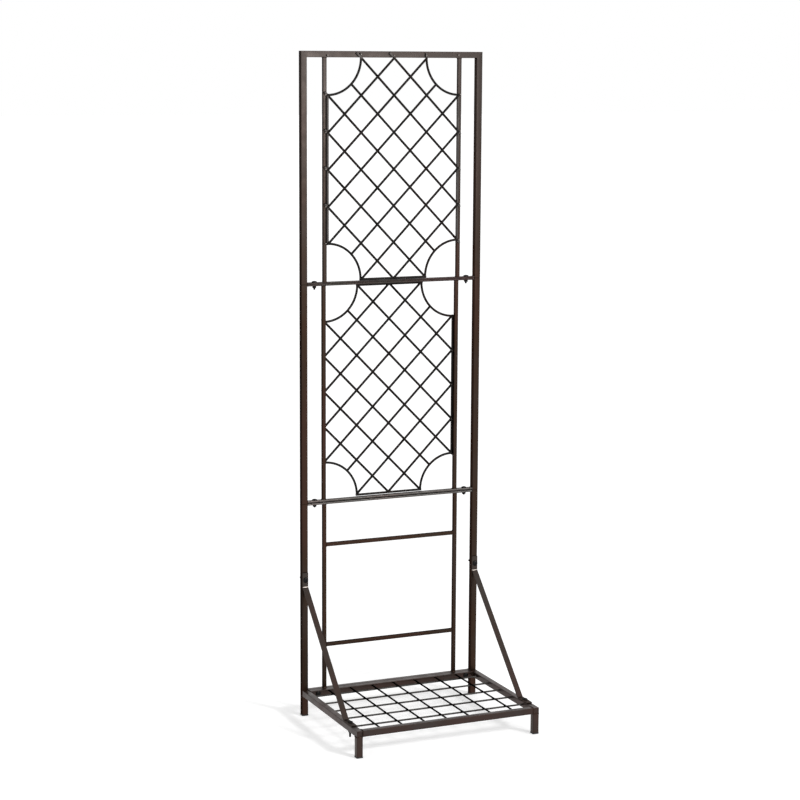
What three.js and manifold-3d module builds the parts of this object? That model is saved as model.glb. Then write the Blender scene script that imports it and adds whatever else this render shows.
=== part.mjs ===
// Plant stand with a trellis back: a low wire shelf on four feet, and three bolted tube panels that
// stand behind it, two of them filled with a welded diamond lattice with quarter-round corners.
// Millimetres, +Z up, front towards -Y. The export is a THREE.Group of named meshes.
import * as THREE from "three";
import { mergeVertices } from "three/addons/utils/BufferGeometryUtils.js";
import Module from "manifold-3d";

const wasm = await Module();
wasm.setup();

// ---------- driving dimensions ----------

// the whole stand
const overallWidth = 535; // over the outside faces of the posts
const overallHeight = 1829;
const bottomPanelHeight = 602; // floor to the lower joint between panels
const middlePanelHeight = 604; // lower joint to upper joint
const shelfReach = 393; // front faces of the posts to the front of the shelf
const shelfHeight = 74; // floor to the top of the shelf rails

// square tubes
const postSize = 17;
const postWall = 1.2;
const postCorner = 1.4;
const uprightSize = 10;
const uprightWall = 1;
const uprightCorner = 0.9;
const rungSize = 10;
const outerBay = 46.5; // clear gap between a post and the inner upright beside it
const upperRungDrop = 120; // lower joint down to the middle of the upper rung
const lowerRungRise = 123; // shelf top up to the middle of the lower rung

// flat bars across each panel's ends
const crossbarThick = 4.8;
const crossbarDepth = 16;
const lowerBarLift = 2.3; // the middle panel's lower crossbar stands this far over its posts' ends

// lattice
const rodDiameter = 6.4;
const rodSink = 2.5; // how far crossing rods are pressed into each other by the weld
const rodMiss = 0.2; // welded rods in one layer miss each other's plane by this
const diamondsAcross = 4;
const diamondsHigh = 6;
const cornerDiamonds = 1; // how many diamonds the corner arcs' radius spans
const rodStep = 1; // how many diamonds one rod starts after another
const sideBarInset = 1; // side bar's axis inside the face of the inner upright
const topEndGap = 2.2; // between the top lattice's bottom bar and its crossbar
const middleEndGap = 0.5; // between the middle lattice's end bars and their crossbars
const topLap = 13; // how far rod ends lie up the front of the top bar
const sideLap = 8; // how far rod ends lie across the inner uprights, past the side bars

// wire shelf
const wireDiameter = 4.8;
const wireSink = 0.5;
const wireDrop = 0.5; // top of the upper wires under the top of the rails
const depthWires = 7;
const crossWires = 5;
const sideMargin = 55.5; // side rail to the middle of the nearest wire
const rearMargin = 26.5; // rear rail to the middle of the nearest cross wire
const frontMargin = 46.5;

// diagonal braces, flat bar with a tab bent at each end
const braceThick = 4;
const braceWidth = 16;
const braceBend = 5; // radius at the middle of the bar's thickness
const braceRise = 295; // shelf top to the upper bend
const braceTopTab = 41;
const braceFootTab = 56;
const braceFootSetback = 40; // shelf front to the end of the foot tab

// M6 hardware
const boltDiameter = 6;
const boltHeadDiameter = 15;
const boltHeadHeight = 4;
const plateBoltLength = 20; // under the head, through two crossbars
const tubeBoltLength = 40; // through a brace's tab and a tube
const railBoltLength = 45; // through the two rails
const boltChamfer = 0.8;
const nutAcross = 10;
const nutThick = 5;
const nutBevel = 0.5;

// plastic foot caps
const capRim = 3.5;
const capOverhang = 0.8;
const capBevel = 0.7;
const capPlugHeight = 12;
const capPlugWall = 1.5;

// clearances
const seam = 0.2; // between pieces that are welded or bolted face to face
const boreClearance = 0.3; // round a foot cap's plug in its tube
const threadClearance = 0.3; // round a bolt in its nut
const holeClearance = 0.4; // round a bolt in its hole

// facets
const rodSides = 6;
const wireSides = 6;
const boltSides = 10;
const domeSteps = 3;
const tubeCornerSteps = 1;
const bendSteps = 3;
const arcSteps = 8;

// ---------- places worked out from them ----------

const halfWidth = overallWidth / 2;
const postX = halfWidth - postSize / 2;
const postInnerX = halfWidth - postSize;
const uprightX = postInnerX - outerBay - uprightSize / 2;
const bayHalf = uprightX - uprightSize / 2; // inner face of an inner upright
const outerBayX = postInnerX - outerBay / 2;
const postFront = -postSize / 2;
const postBack = postSize / 2;
const shelfFront = postFront - shelfReach;
const lowerJoint = bottomPanelHeight;
const upperJoint = bottomPanelHeight + middlePanelHeight;
const postBore = postSize - 2 * postWall;
const holeRadius = boltDiameter / 2 + holeClearance;
const railCentreZ = shelfHeight - postSize / 2;
const latticeReach = rodMiss + 2 * rodDiameter - rodSink;
const boltReach = tubeBoltLength - braceThick - postSize - 2 * seam; // of a brace's upper bolt
const backReach = Math.max(latticeReach + seam, boltReach); // behind the posts
const frameY = -(shelfFront - capOverhang + postBack + backReach) / 2; // middle of the depth to y = 0

// ---------- materials ----------

const coat = (name, color) =>
  new THREE.MeshStandardMaterial({ name, color, roughness: 0.42, metalness: 0.55 });
const bronzeTube = coat("bronze_coated_tube", 0x4a3b35);
const bronzeFlat = coat("bronze_coated_flat_bar", 0x50423c);
const bronzeRod = coat("bronze_coated_rod", 0x2e2a27);
const hardware = new THREE.MeshStandardMaterial({
  name: "black_hardware",
  color: 0x17171a,
  roughness: 0.35,
  metalness: 0.8,
});
const blackPlastic = new THREE.MeshStandardMaterial({
  name: "black_plastic",
  color: 0x141415,
  roughness: 0.6,
  metalness: 0,
});

// ---------- solids ----------

function solidOf(geometry) {
  const bare = geometry.index ? geometry.toNonIndexed() : geometry.clone();
  const positions = new THREE.BufferGeometry();
  positions.setAttribute("position", bare.getAttribute("position"));
  const merged = mergeVertices(positions, 1e-4);
  return new wasm.Manifold(
    new wasm.Mesh({
      numProp: 3,
      vertProperties: merged.attributes.position.array,
      triVerts: new Uint32Array(merged.index.array),
    }),
  );
}

function geometryOf(solid) {
  const mesh = solid.getMesh();
  const geometry = new THREE.BufferGeometry();
  geometry.setAttribute("position", new THREE.BufferAttribute(mesh.vertProperties, 3));
  geometry.setIndex(new THREE.BufferAttribute(mesh.triVerts, 1));
  const flat = geometry.toNonIndexed();
  flat.computeVertexNormals();
  return flat;
}

function join(geometries) {
  const [first, ...rest] = geometries.map(solidOf);
  return geometryOf(rest.reduce((sum, solid) => sum.add(solid), first));
}

function cut(geometry, tools) {
  return geometryOf(tools.map(solidOf).reduce((left, tool) => left.subtract(tool), solidOf(geometry)));
}

// A rectangle with round corners, centred on the origin.
function roundedRectangle(width, height, radius, Outline = THREE.Shape) {
  const x = width / 2;
  const y = height / 2;
  const outline = new Outline();
  outline.moveTo(x, -y + radius);
  outline.lineTo(x, y - radius);
  outline.absarc(x - radius, y - radius, radius, 0, Math.PI / 2);
  outline.lineTo(-x + radius, y);
  outline.absarc(-x + radius, y - radius, radius, Math.PI / 2, Math.PI);
  outline.lineTo(-x, -y + radius);
  outline.absarc(-x + radius, -y + radius, radius, Math.PI, 1.5 * Math.PI);
  outline.lineTo(x - radius, -y);
  outline.absarc(x - radius, -y + radius, radius, 1.5 * Math.PI, 2 * Math.PI);
  return outline;
}

function extrude(shape, depth) {
  const curveSegments = tubeCornerSteps;
  return new THREE.ExtrudeGeometry(shape, { depth, bevelEnabled: false, curveSegments });
}

// A square tube along its own +Z, open at both ends.
function squareTube(length, size, wall, corner) {
  const section = roundedRectangle(size, size, corner);
  const bore = size - 2 * wall;
  section.holes.push(roundedRectangle(bore, bore, Math.max(corner - wall, corner / 4), THREE.Path));
  return extrude(section, length);
}

// A bolt hole right through a bar, at a distance along it: across is the bar's own axis that the
// hole runs along, and reach is more than half the bar's size that way.
function crossHole(along, across, reach) {
  const hole = new THREE.CylinderGeometry(holeRadius, holeRadius, 2 * reach, boltSides);
  if (across === "x") hole.rotateZ(Math.PI / 2);
  return hole.translate(0, 0, along);
}

// Everything beyond the plane through a point, on the side its normal points to.
function halfSpace(point, normal, reach) {
  const block = new THREE.BoxGeometry(reach, reach, reach).translate(0, 0, reach / 2);
  const up = new THREE.Vector3(0, 0, 1);
  const turn = new THREE.Quaternion().setFromUnitVectors(up, normal.clone().normalize());
  return block.applyQuaternion(turn).translate(point.x, point.y, point.z);
}

// A straight rod of n flats between two points, its flats one diameter apart and one of them
// turned to the facing axis.
function rod(from, to, diameter, sides, facing) {
  const radius = diameter / 2 / Math.cos(Math.PI / sides);
  const along = new THREE.Vector3().subVectors(to, from);
  const length = along.length();
  along.normalize();
  const turn = new THREE.Matrix4().makeBasis(along.clone().cross(facing), along, facing);
  const middle = from.clone().add(to).divideScalar(2);
  return new THREE.CylinderGeometry(radius, radius, length, sides)
    .rotateY(Math.PI / sides)
    .applyMatrix4(turn.setPosition(middle));
}

// ---------- placing pieces ----------

const alongX = new THREE.Euler(0, Math.PI / 2, 0); // a bar's own +Z turned to +X, its +X to -Z
const towardsFront = new THREE.Euler(Math.PI / 2, 0, 0); // its +Z to -Y, its +Y to +Z

function piece(parent, name, geometry, material, [x, y, z], turn) {
  const mesh = new THREE.Mesh(geometry, material.clone());
  mesh.name = name;
  mesh.position.set(x, y, z);
  if (turn) mesh.rotation.copy(turn);
  parent.add(mesh);
  return mesh;
}

function panelGroup(parent, height) {
  const group = new THREE.Group();
  group.position.z = height;
  parent.add(group);
  return group;
}

const sides = [
  ["left", -1],
  ["right", 1],
];

// ---------- back panels ----------

// Two inner uprights, from the panel's own height low to high, with their axes at depth y.
function innerUprights(panel, name, low, high, y) {
  for (const [side, sign] of sides) {
    const tube = squareTube(high - low - 2 * seam, uprightSize, uprightWall, uprightCorner);
    piece(panel, `${name}_${side}_inner_upright`, tube, bronzeTube, [sign * uprightX, y, low + seam]);
  }
}

// A flat crossbar with a bolt hole in each outer bay; under is the height of its lower face.
function crossbar(panel, name, under) {
  const length = 2 * (postInnerX - seam);
  const bar = extrude(roundedRectangle(crossbarThick, crossbarDepth, crossbarThick / 4), length);
  const holes = [-1, 1].map((sign) => crossHole(length / 2 + sign * outerBayX, "x", crossbarDepth));
  piece(panel, name, cut(bar, holes), bronzeFlat, [-length / 2, 0, under + crossbarThick / 2], alongX);
}

function plainPosts(panel, name, low, high, holesAt) {
  const holes = holesAt.map((height) => crossHole(height - low, "y", postSize));
  for (const [side, sign] of sides) {
    const tube = squareTube(high - low, postSize, postWall, postCorner);
    const post = holes.length ? cut(tube, holes) : tube;
    piece(panel, `${name}_${side}_post`, post, bronzeTube, [sign * postX, 0, low]);
  }
}

// Quarter-round corner rod, centred on the lattice corner, from the side bar to the end bar.
class CornerArc extends THREE.Curve {
  constructor(corner, acrossRadius, upRadius) {
    super();
    this.corner = corner;
    this.acrossRadius = acrossRadius;
    this.upRadius = upRadius;
  }
  getPoint(t, target = new THREE.Vector3()) {
    const angle = (t * Math.PI) / 2;
    return target.set(
      this.corner.x + this.acrossRadius * Math.cos(angle),
      this.corner.y,
      this.corner.z + this.upRadius * Math.sin(angle),
    );
  }
}

function cornerRod(corner, acrossRadius, upRadius) {
  const radius = rodDiameter / 2 / Math.cos(Math.PI / rodSides);
  const section = new THREE.Shape();
  for (let side = 0; side < rodSides; side += 1) {
    const angle = ((side + 0.5) * 2 * Math.PI) / rodSides;
    const point = [radius * Math.cos(angle), radius * Math.sin(angle)];
    if (side === 0) section.moveTo(...point);
    else section.lineTo(...point);
  }
  const extrudePath = new CornerArc(corner, acrossRadius, upRadius);
  return new THREE.ExtrudeGeometry(section, { steps: arcSteps, extrudePath, bevelEnabled: false });
}

// The falling rods' ends, in diamonds across from the left bar and down from the top bar. They
// start a step apart between the corner arcs. A rod that would meet a lattice corner stops
// on that corner's arc instead.
function diagonals() {
  const arcHit = cornerDiamonds * Math.SQRT1_2; // each way from a corner to the middle of its arc
  const first = cornerDiamonds - diamondsHigh + rodStep;
  const lines = [];
  for (let start = first; start < diamondsAcross - cornerDiamonds; start += rodStep) {
    let from = start >= 0 ? [start, 0] : [0, -start];
    const run = Math.min(diamondsAcross - from[0], diamondsHigh - from[1]);
    let to = [from[0] + run, from[1] + run];
    if (start === 0) from = [arcHit, arcHit];
    if (start === diamondsAcross - diamondsHigh) to = to.map((step) => step - arcHit);
    lines.push([from, to]);
  }
  return lines;
}

// One lattice: the frame and the falling diagonals lie against the uprights, the rising diagonals
// lie on them. facing is -1 for a lattice on the front of its panel and 1 for one on the back.
// With a lap, the rods run up that far past topZ in place of a bar there.
function lattice(topZ, bottomZ, facing, lap) {
  const halfAcross = bayHalf - sideBarInset;
  const pitchX = (2 * halfAcross) / diamondsAcross;
  const pitchZ = (topZ - bottomZ) / diamondsHigh;
  const nearY = facing * (postBack + seam + rodMiss + rodDiameter / 2);
  const arcY = nearY + facing * rodMiss;
  const fallingY = nearY - facing * rodMiss;
  const risingY = nearY + facing * (rodDiameter - rodSink);
  const at = (i, j, y) => new THREE.Vector3(-halfAcross + i * pitchX, y, topZ - j * pitchZ);
  const bar = (from, to) => rod(from, to, rodDiameter, rodSides, new THREE.Vector3(0, 1, 0));
  const [last, lowest] = [diamondsAcross, diamondsHigh];
  const overrun = rodDiameter / 2 / pitchZ; // the bars run past the arcs' ends by a rod's radius
  const aside = rodDiameter / 2 / pitchX;
  const [barStart, barEnd] = [cornerDiamonds - aside, last - cornerDiamonds + aside];
  const [barTop, barFoot] = [cornerDiamonds - overrun, lowest - cornerDiamonds + overrun];
  const parts = (lap ? [lowest] : [0, lowest]).map((j) => bar(at(barStart, j, nearY), at(barEnd, j, nearY)));
  for (const i of [0, last]) parts.push(bar(at(i, barTop, nearY), at(i, barFoot, nearY)));
  for (const [i, j] of [[0, 0], [last, 0], [0, lowest], [last, lowest]]) {
    const inwards = i === 0 ? cornerDiamonds : -cornerDiamonds;
    const upwards = j === 0 ? -cornerDiamonds : cornerDiamonds;
    parts.push(cornerRod(at(i, j, arcY), inwards * pitchX, upwards * pitchZ));
  }
  const lapStep = lap / pitchZ;
  if (lap) {
    const ends = [cornerDiamonds, last - cornerDiamonds];
    for (const i of ends) parts.push(bar(at(i, overrun, nearY), at(i, -lapStep, nearY)));
  }
  const sideStep = sideLap / pitchX;
  for (const [[i, j], [k, m]] of diagonals()) {
    const before = j === 0 ? lapStep : i === 0 ? sideStep : 0;
    const after = k === last ? sideStep : 0;
    parts.push(bar(at(i - before, j - before, fallingY), at(k + after, m + after, fallingY)));
    parts.push(bar(at(last - i, j, risingY), at(last - k, m, risingY)));
  }
  return join(parts);
}

function topPanel(stand) {
  const panel = panelGroup(stand, upperJoint);
  const height = overallHeight - upperJoint;
  const underBar = height - postSize;
  const reach = 4 * postSize;
  for (const [side, sign] of sides) {
    const tube = squareTube(height - seam / 2, postSize, postWall, postCorner);
    const outward = new THREE.Vector3(-sign, 0, 1);
    const mitre = halfSpace(new THREE.Vector3(0, 0, height - postSize / 2 - seam), outward, reach);
    piece(panel, `top_panel_${side}_post`, cut(tube, [mitre]), bronzeTube, [sign * postX, 0, seam / 2]);
  }
  const bar = squareTube(overallWidth, postSize, postWall, postCorner);
  const ends = [0, overallWidth].map((end) => {
    const inset = end === 0 ? postSize / 2 + seam : overallWidth - postSize / 2 - seam;
    const towards = end === 0 ? -1 : 1;
    return halfSpace(new THREE.Vector3(0, 0, inset), new THREE.Vector3(1, 0, towards), reach);
  });
  piece(panel, "top_bar", cut(bar, ends), bronzeTube, [-halfWidth, 0, height - postSize / 2], alongX);
  crossbar(panel, "top_panel_crossbar", seam / 2);
  const uprightY = postFront + uprightSize / 2;
  innerUprights(panel, "top_panel", seam / 2 + crossbarThick, underBar, uprightY);
  const bottomZ = seam / 2 + crossbarThick + topEndGap + rodDiameter / 2;
  const net = lattice(underBar - bottomZ, 0, -1, topLap);
  piece(panel, "top_lattice", net, bronzeRod, [0, 0, bottomZ]);
}

function middlePanel(stand) {
  const panel = panelGroup(stand, lowerJoint);
  const height = middlePanelHeight;
  plainPosts(panel, "middle_panel", seam / 2, height - seam / 2, []);
  const lowest = seam / 2 + lowerBarLift;
  const highest = height - seam / 2;
  crossbar(panel, "middle_panel_lower_crossbar", lowest);
  crossbar(panel, "middle_panel_upper_crossbar", highest - crossbarThick);
  const bay = [lowest + crossbarThick, highest - crossbarThick];
  innerUprights(panel, "middle_panel", ...bay, postBack - uprightSize / 2);
  const inset = middleEndGap + rodDiameter / 2;
  const net = lattice(bay[1] - bay[0] - 2 * inset, 0, 1, 0);
  piece(panel, "middle_lattice", net, bronzeRod, [0, 0, bay[0] + inset]);
}

// Heights on the brace and on the posts that share its bolt.
const braceFootZ = shelfHeight + seam + braceThick / 2;
const braceBendZ = shelfHeight + braceRise;
const braceTopBoltZ = braceBendZ + braceTopTab / 2;
const braceTopY = postFront - seam - braceThick / 2;
const braceFootEndY = shelfFront + braceFootSetback;
const braceFootBoltY = braceFootEndY + braceFootTab / 2;

function bottomPanel(stand) {
  const panel = panelGroup(stand, 0);
  const top = lowerJoint - seam / 2;
  plainPosts(panel, "bottom_panel", capRim + seam, top, [braceTopBoltZ]);
  crossbar(panel, "bottom_panel_crossbar", top - crossbarThick);
  innerUprights(panel, "bottom_panel", shelfHeight, top - crossbarThick, 0);
  const rungHeights = { upper: lowerJoint - upperRungDrop, lower: shelfHeight + lowerRungRise };
  for (const [name, z] of Object.entries(rungHeights)) {
    const length = 2 * (bayHalf - seam);
    const tube = squareTube(length, rungSize, uprightWall, uprightCorner);
    piece(panel, `${name}_rung`, tube, bronzeTube, [-length / 2, 0, z], alongX);
  }
  boltedRail(panel, "bottom_panel_rail", 0);
}

// A rail between the posts or the side rails, with a hole along Y in each outer bay.
function boltedRail(parent, name, y) {
  const length = 2 * (postInnerX - seam);
  const holes = [-1, 1].map((sign) => crossHole(length / 2 + sign * outerBayX, "y", postSize));
  const tube = cut(squareTube(length, postSize, postWall, postCorner), holes);
  piece(parent, name, tube, bronzeTube, [-length / 2, y, railCentreZ], alongX);
}

// ---------- shelf ----------

const rearRailY = postFront - seam - postSize / 2;
const frontRailY = shelfFront + postSize / 2;

// A side rail starts at the post and is closed by a welded plate at the front.
function sideRail(side, sign, parent) {
  const start = postFront - seam;
  const length = start - shelfFront;
  const plate = extrude(roundedRectangle(postSize, postSize, postCorner), postWall);
  const tube = squareTube(length, postSize, postWall, postCorner);
  const closed = join([tube, plate.translate(0, 0, length - postWall)]);
  const hole = crossHole(start - braceFootBoltY, "y", postSize);
  const place = [sign * postX, start, railCentreZ];
  piece(parent, `${side}_side_rail`, cut(closed, [hole]), bronzeTube, place, towardsFront);
}

function wireGrid() {
  const rearY = rearRailY - postSize / 2 - seam;
  const frontY = frontRailY + postSize / 2 + seam;
  const halfAcross = postInnerX - seam;
  const upperZ = -wireDrop - wireDiameter / 2;
  const lowerZ = upperZ - wireDiameter + wireSink;
  const spread = (low, high, count, index) => low + ((high - low) * index) / (count - 1);
  const wire = (from, to) => rod(from, to, wireDiameter, wireSides, new THREE.Vector3(0, 0, 1));
  const parts = [];
  for (let n = 0; n < depthWires; n += 1) {
    const x = spread(-postInnerX + sideMargin, postInnerX - sideMargin, depthWires, n);
    parts.push(wire(new THREE.Vector3(x, rearY, upperZ), new THREE.Vector3(x, frontY, upperZ)));
  }
  for (let n = 0; n < crossWires; n += 1) {
    const y = spread(rearY - rearMargin, frontY + frontMargin, crossWires, n);
    parts.push(wire(new THREE.Vector3(-halfAcross, y, lowerZ), new THREE.Vector3(halfAcross, y, lowerZ)));
  }
  return join(parts);
}

function shelf(stand) {
  const group = panelGroup(stand, 0);
  for (const [side, sign] of sides) sideRail(side, sign, group);
  const frontLength = 2 * (postInnerX - seam);
  const frontTube = squareTube(frontLength, postSize, postWall, postCorner);
  piece(group, "front_rail", frontTube, bronzeTube, [-frontLength / 2, frontRailY, railCentreZ], alongX);
  boltedRail(group, "rear_rail", rearRailY);
  const legBase = capRim + seam;
  const legLength = shelfHeight - postSize - seam - legBase;
  for (const [side, sign] of sides) {
    const leg = squareTube(legLength, postSize, postWall, postCorner);
    piece(group, `front_${side}_leg`, leg, bronzeTube, [sign * postX, frontRailY, legBase]);
  }
  piece(group, "wire_grid", wireGrid(), bronzeRod, [0, 0, shelfHeight]);
}

// ---------- braces ----------

// The outline of a flat bar seen from its edge: a centre line of straight runs with round bends.
function bentBarOutline(corners, thickness, bendRadius) {
  const centre = [{ point: corners[0], direction: corners[1].clone().sub(corners[0]).normalize() }];
  for (let n = 1; n < corners.length - 1; n += 1) {
    const before = corners[n].clone().sub(corners[n - 1]).normalize();
    const after = corners[n + 1].clone().sub(corners[n]).normalize();
    const turn = Math.atan2(before.cross(after), before.dot(after));
    const setback = bendRadius * Math.tan(Math.abs(turn) / 2);
    const start = corners[n].clone().addScaledVector(before, -setback);
    const inward = new THREE.Vector2(-before.y, before.x).multiplyScalar(Math.sign(turn));
    const hub = start.clone().addScaledVector(inward, bendRadius);
    for (let step = 0; step <= bendSteps; step += 1) {
      const angle = (turn * step) / bendSteps;
      const direction = before.clone().rotateAround(new THREE.Vector2(), angle);
      centre.push({ point: start.clone().rotateAround(hub, angle), direction });
    }
  }
  centre.push({ point: corners.at(-1), direction: corners.at(-1).clone().sub(corners.at(-2)).normalize() });
  const offset = ({ point, direction }, by) =>
    new THREE.Vector2(point.x - direction.y * by, point.y + direction.x * by);
  const right = centre.map((place) => offset(place, -thickness / 2));
  const left = centre.map((place) => offset(place, thickness / 2)).reverse();
  return new THREE.Shape([...right, ...left]);
}

// The brace's own x, y and z axes are the stand's y, z and x.
function braces(stand) {
  const footBendY = braceFootEndY + braceFootTab;
  const corners = [
    new THREE.Vector2(braceTopY, braceBendZ + braceTopTab),
    new THREE.Vector2(braceTopY, braceBendZ),
    new THREE.Vector2(footBendY, braceFootZ),
    new THREE.Vector2(braceFootEndY, braceFootZ),
  ];
  const outline = bentBarOutline(corners, braceThick, braceBend);
  const topHole = crossHole(0, "x", braceThick).translate(braceTopY, braceTopBoltZ, braceWidth / 2);
  const footHole = crossHole(0, "y", braceThick).translate(braceFootBoltY, braceFootZ, braceWidth / 2);
  for (const [side, sign] of sides) {
    const bar = cut(extrude(outline, braceWidth), [topHole, footHole]);
    const mesh = piece(stand, `${side}_brace`, bar, bronzeFlat, [sign * postX - braceWidth / 2, 0, 0]);
    mesh.rotation.set(Math.PI / 2, Math.PI / 2, 0);
  }
}

// ---------- hardware and foot caps ----------

// A domed bolt, head up, with the underside of its head at its own origin.
function boltGeometry(length) {
  const radius = boltDiameter / 2;
  const headRadius = boltHeadDiameter / 2;
  const profile = [new THREE.Vector2(0, -length), new THREE.Vector2(radius - boltChamfer, -length)];
  profile.push(new THREE.Vector2(radius, -length + boltChamfer), new THREE.Vector2(radius, 0));
  for (let step = 0; step <= domeSteps; step += 1) {
    const angle = ((Math.PI / 2) * step) / domeSteps;
    const across = step === domeSteps ? 0 : headRadius * Math.cos(angle);
    profile.push(new THREE.Vector2(across, boltHeadHeight * Math.sin(angle)));
  }
  return new THREE.LatheGeometry(profile, boltSides).rotateX(Math.PI / 2);
}

// A hexagon nut whose upper face is at its own origin.
function nutGeometry() {
  const outline = new THREE.Shape();
  const corner = nutAcross / 2 / Math.cos(Math.PI / 6) - nutBevel;
  for (let side = 0; side < 6; side += 1) {
    const angle = (side * Math.PI) / 3;
    const point = [corner * Math.cos(angle), corner * Math.sin(angle)];
    if (side === 0) outline.moveTo(...point);
    else outline.lineTo(...point);
  }
  const bevel = { bevelThickness: nutBevel, bevelSize: nutBevel, bevelSegments: 1 };
  const body = new THREE.ExtrudeGeometry(outline, { depth: nutThick - 2 * nutBevel, ...bevel });
  const boreRadius = boltDiameter / 2 + threadClearance;
  const bore = new THREE.CylinderGeometry(boreRadius, boreRadius, 3 * nutThick, boltSides);
  return cut(body.translate(0, 0, nutBevel - nutThick), [bore.rotateX(Math.PI / 2)]);
}

// A bolt and its nut through a stack of the given thickness; x, y, z is where the head sits.
function boltAndNut(stand, name, [x, y, z], grip, length, turn) {
  const group = new THREE.Group();
  group.position.set(x, y, z);
  if (turn) group.rotation.copy(turn);
  stand.add(group);
  piece(group, `${name}_bolt`, boltGeometry(length), hardware, [0, 0, 0]);
  piece(group, `${name}_nut`, nutGeometry(), hardware, [0, 0, -grip - seam]);
}

function hardwareSet(stand) {
  const joints = [
    ["lower_joint", lowerJoint, lowerBarLift],
    ["upper_joint", upperJoint, 0],
  ];
  const braceGrip = braceThick + postSize + 2 * seam;
  const railGrip = 2 * postSize + 2 * seam;
  for (const [side, sign] of sides) {
    for (const [name, height, lift] of joints) {
      const seat = [sign * outerBayX, 0, height + seam / 2 + lift + crossbarThick + seam];
      const grip = 2 * crossbarThick + lift + 2 * seam;
      boltAndNut(stand, `${name}_${side}`, seat, grip, plateBoltLength);
    }
    const topSeat = [sign * postX, postFront - braceThick - 2 * seam, braceTopBoltZ];
    boltAndNut(stand, `${side}_brace_top`, topSeat, braceGrip, tubeBoltLength, towardsFront);
    const footSeat = [sign * postX, braceFootBoltY, shelfHeight + braceThick + 2 * seam];
    boltAndNut(stand, `${side}_brace_foot`, footSeat, braceGrip, tubeBoltLength);
    const railSeat = [sign * outerBayX, rearRailY - postSize / 2 - seam, railCentreZ];
    boltAndNut(stand, `shelf_${side}`, railSeat, railGrip, railBoltLength, towardsFront);
  }
}

// A rim under the tube and a hollow plug up its bore.
function footCap() {
  const rimSize = postSize + 2 * capOverhang - 2 * capBevel;
  const bevel = { bevelThickness: capBevel, bevelSize: capBevel, bevelSegments: 1, curveSegments: 1 };
  const rimShape = roundedRectangle(rimSize, rimSize, postCorner);
  const rim = new THREE.ExtrudeGeometry(rimShape, { depth: capRim - 2 * capBevel, ...bevel });
  const plugSize = postBore - 2 * boreClearance;
  const plug = squareTube(capPlugHeight + capRim / 2, plugSize, capPlugWall, postCorner / 2);
  return join([rim.translate(0, 0, capBevel), plug.translate(0, 0, capRim / 2)]);
}

function footCaps(stand) {
  for (const [side, sign] of sides) {
    piece(stand, `rear_${side}_foot_cap`, footCap(), blackPlastic, [sign * postX, 0, 0]);
    piece(stand, `front_${side}_foot_cap`, footCap(), blackPlastic, [sign * postX, frontRailY, 0]);
  }
}

// ---------- the stand ----------

const stand = new THREE.Group();
stand.name = "planter_with_trellis";
stand.position.y = frameY;
topPanel(stand);
middlePanel(stand);
bottomPanel(stand);
shelf(stand);
braces(stand);
hardwareSet(stand);
footCaps(stand);

export default stand;
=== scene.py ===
"""Looks of a plant stand with a trellis back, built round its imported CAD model.

Metres, +Z up, the front of the shelf towards -Y. Every tube, bar, rod, bolt and cap of the CAD
model gets a finer piece in its place, and the welds that join them are added.
"""
import math
import random

import bpy
from mathutils import Matrix, Vector


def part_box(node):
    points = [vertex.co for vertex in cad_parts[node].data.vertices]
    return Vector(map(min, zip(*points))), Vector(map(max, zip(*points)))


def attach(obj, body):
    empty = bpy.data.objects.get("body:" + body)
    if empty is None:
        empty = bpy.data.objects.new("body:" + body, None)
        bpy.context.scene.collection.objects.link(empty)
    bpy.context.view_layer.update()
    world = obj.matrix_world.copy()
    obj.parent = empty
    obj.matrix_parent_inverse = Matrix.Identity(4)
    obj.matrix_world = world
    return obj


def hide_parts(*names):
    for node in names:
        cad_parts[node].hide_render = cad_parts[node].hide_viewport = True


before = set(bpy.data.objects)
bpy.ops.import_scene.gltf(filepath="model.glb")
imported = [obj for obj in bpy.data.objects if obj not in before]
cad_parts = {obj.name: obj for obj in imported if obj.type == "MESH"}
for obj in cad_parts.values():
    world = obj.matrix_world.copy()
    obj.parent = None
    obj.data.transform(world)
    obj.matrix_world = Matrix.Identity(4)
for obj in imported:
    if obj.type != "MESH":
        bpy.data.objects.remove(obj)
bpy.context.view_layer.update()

MM = 0.001
SIDES = (("left", -1), ("right", 1))
X, Y, Z = Vector((1, 0, 0)), Vector((0, 1, 0)), Vector((0, 0, 1))
ACROSS, UPRIGHT = 0, 2  # indices of the X and Z axes

# ---------- camera ----------

# The viewing angle was fitted to the photograph's own vanishing lines and known widths.
CAMERA_AZIMUTH = math.radians(-23.87)
CAMERA_PITCH = math.radians(9.19)
CAMERA_ROLL = math.radians(0.29)
CAMERA_DISTANCE = 5.844
FOCAL_PIXELS = 2103.0
IMAGE_PIXELS = 800
SENSOR_MM = 36.0
AIM_ASIDE = 0.0281  # how far right of the stand's middle the camera looks
AIM_HEIGHT = 0.8732


def post_box(name):
    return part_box(f"{name}_post")


def add_camera():
    low, high = post_box("bottom_panel_left")
    aim = Vector((AIM_ASIDE, (low.y + high.y) / 2, AIM_HEIGHT))
    forward = Vector((
        -math.sin(CAMERA_AZIMUTH) * math.cos(CAMERA_PITCH),
        math.cos(CAMERA_AZIMUTH) * math.cos(CAMERA_PITCH),
        -math.sin(CAMERA_PITCH),
    ))
    data = bpy.data.cameras.new("camera")
    data.sensor_width = SENSOR_MM
    data.lens = FOCAL_PIXELS / IMAGE_PIXELS * SENSOR_MM
    camera = bpy.data.objects.new("camera", data)
    bpy.context.scene.collection.objects.link(camera)
    turn = forward.to_track_quat("-Z", "Y").to_matrix() @ Matrix.Rotation(CAMERA_ROLL, 3, "Z")
    camera.matrix_world = Matrix.Translation(aim - forward * CAMERA_DISTANCE) @ turn.to_4x4()
    bpy.context.scene.camera = camera


# ---------- materials ----------


def nodes_of(name):
    material = bpy.data.materials.new(name)
    material.use_nodes = True
    tree = material.node_tree
    return material, tree, tree.nodes["Principled BSDF"]


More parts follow.
